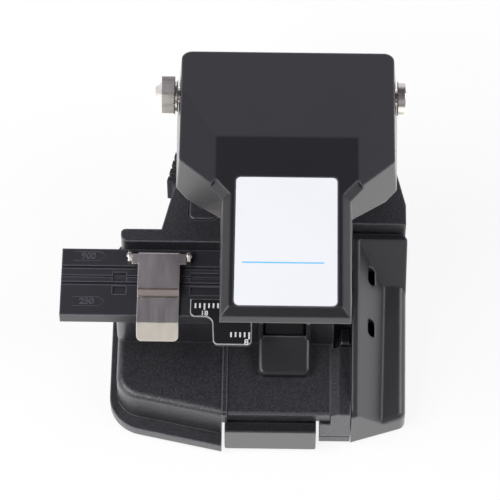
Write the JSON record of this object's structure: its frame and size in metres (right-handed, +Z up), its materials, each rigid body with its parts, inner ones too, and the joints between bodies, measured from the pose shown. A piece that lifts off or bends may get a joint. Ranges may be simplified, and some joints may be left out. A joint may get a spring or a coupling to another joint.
{
  "type": "fibre cleaver",
  "caption": "Bench fibre cleaver: hinged lever with clamps and anvil, sliding blade carriage, fibre adapter with clip and scale, and a side scrap collector.",
  "frame": {"origin": "centre of the footprint box at the level of the feet's underside", "axes": "+X to the scrap collector, +Y from the lever's nose to its hinge, +Z up"},
  "size_m": [0.0766, 0.0722, 0.0602],
  "materials": {
    "housing": "satin, fine grain",
    "cover_paint": "satin",
    "label": "satin film",
    "collector_paint": "satin",
    "slider_metal": "satin",
    "adapter_metal": "matt black",
    "thumb_plastic": "matt",
    "guard_plastic": "matt",
    "grip_rubber": "matt",
    "foot_rubber": "matt",
    "spring_steel": "brushed",
    "bright_steel": "turned and plated",
    "dark_screw": "black oxide",
    "frame_steel": "satin",
    "carriage_metal": "anodised",
    "carbide": "ground",
    "clamp_rubber": "matt"
  },
  "bodies": {
    "base": {"base_housing": "housing", "bottom_plate": "frame_steel", "rubber_feet": "foot_rubber", "base_screws": "dark_screw", "front_panel": "housing", "deck_cover": "housing", "deck_screw": "dark_screw", "grip_pad": "grip_rubber", "adapter_plate": "adapter_metal", "adapter_dowels": "frame_steel", "clip_magnet": "frame_steel", "scale_plate": "adapter_metal", "clip_lugs": "bright_steel", "clip_pin": "bright_steel", "lower_clamps": "carriage_metal", "lower_pads": "clamp_rubber", "slide_rail": "frame_steel", "blade_guard": "guard_plastic", "lever_spring": "spring_steel"},
    "lever": {"lever_cover": "cover_paint", "label_plate": "label", "lever_frame": "frame_steel", "frame_spacers": "frame_steel", "lever_screws": "dark_screw", "upper_clamps": "carriage_metal", "upper_pads": "clamp_rubber", "anvil": "carriage_metal", "hinge_shaft": "bright_steel", "hinge_cap_nut": "bright_steel", "hinge_washer": "bright_steel", "hinge_end_nut": "bright_steel"},
    "carriage": {"blade_carriage": "carriage_metal", "front_slider": "slider_metal", "blade_holder": "frame_steel", "blade_axle": "bright_steel", "hub_nut": "bright_steel"},
    "blade": {"blade_wheel": "carbide", "blade_hub": "frame_steel"},
    "clip": {"fibre_clip": "spring_steel"},
    "stopper": {"lever_stopper": "thumb_plastic"},
    "catch": {"collector_catch": "thumb_plastic"},
    "collector": {"collector_body": "collector_paint"},
    "feed": {"feed_roller": "clamp_rubber", "roller_shaft": "bright_steel"}
  },
  "joints": [
    {"name": "lever_hinge", "type": "hinge", "parent": "base", "child": "lever", "pos_m": [0.0112, 0.0267, 0.049], "axis": [1, 0, 0], "range_deg": [0, 27], "stiffness_Nm_per_rad": 0.15, "springref_deg": -20.05},
    {"name": "carriage_slide", "type": "slide", "parent": "base", "child": "carriage", "axis": [0, 1, 0], "range_m": [0, 0.0089]},
    {"name": "blade_spin", "type": "hinge", "parent": "carriage", "child": "blade", "pos_m": [0.0112, -0.00795, 0.02045], "axis": [1, 0, 0], "continuous": true},
    {"name": "clip_hinge", "type": "hinge", "parent": "base", "child": "clip", "pos_m": [-0.0167, -0.00165, 0.0276], "axis": [-1, 0, 0], "range_deg": [0, 100]},
    {"name": "stopper_slide", "type": "slide", "parent": "base", "child": "stopper", "axis": [0, -1, 0], "range_m": [0, 0.002]},
    {"name": "catch_slide", "type": "slide", "parent": "base", "child": "catch", "axis": [-1, 0, 0], "range_m": [0, 0.0012], "stiffness_N_per_m": 200, "springref_m": -0.001},
    {"name": "collector_slide", "type": "slide", "parent": "base", "child": "collector", "axis": [1, 0, 0], "range_m": [0, 0.012]},
    {"name": "feed_spin", "type": "hinge", "parent": "base", "child": "feed", "pos_m": [0.0225, -0.0051, 0.0243], "axis": [0, 1, 0], "continuous": true}
  ],
  "couplings": [
    {"joint": "carriage_slide", "follows": "lever_hinge", "m_per_rad": 0.018691}
  ]
}
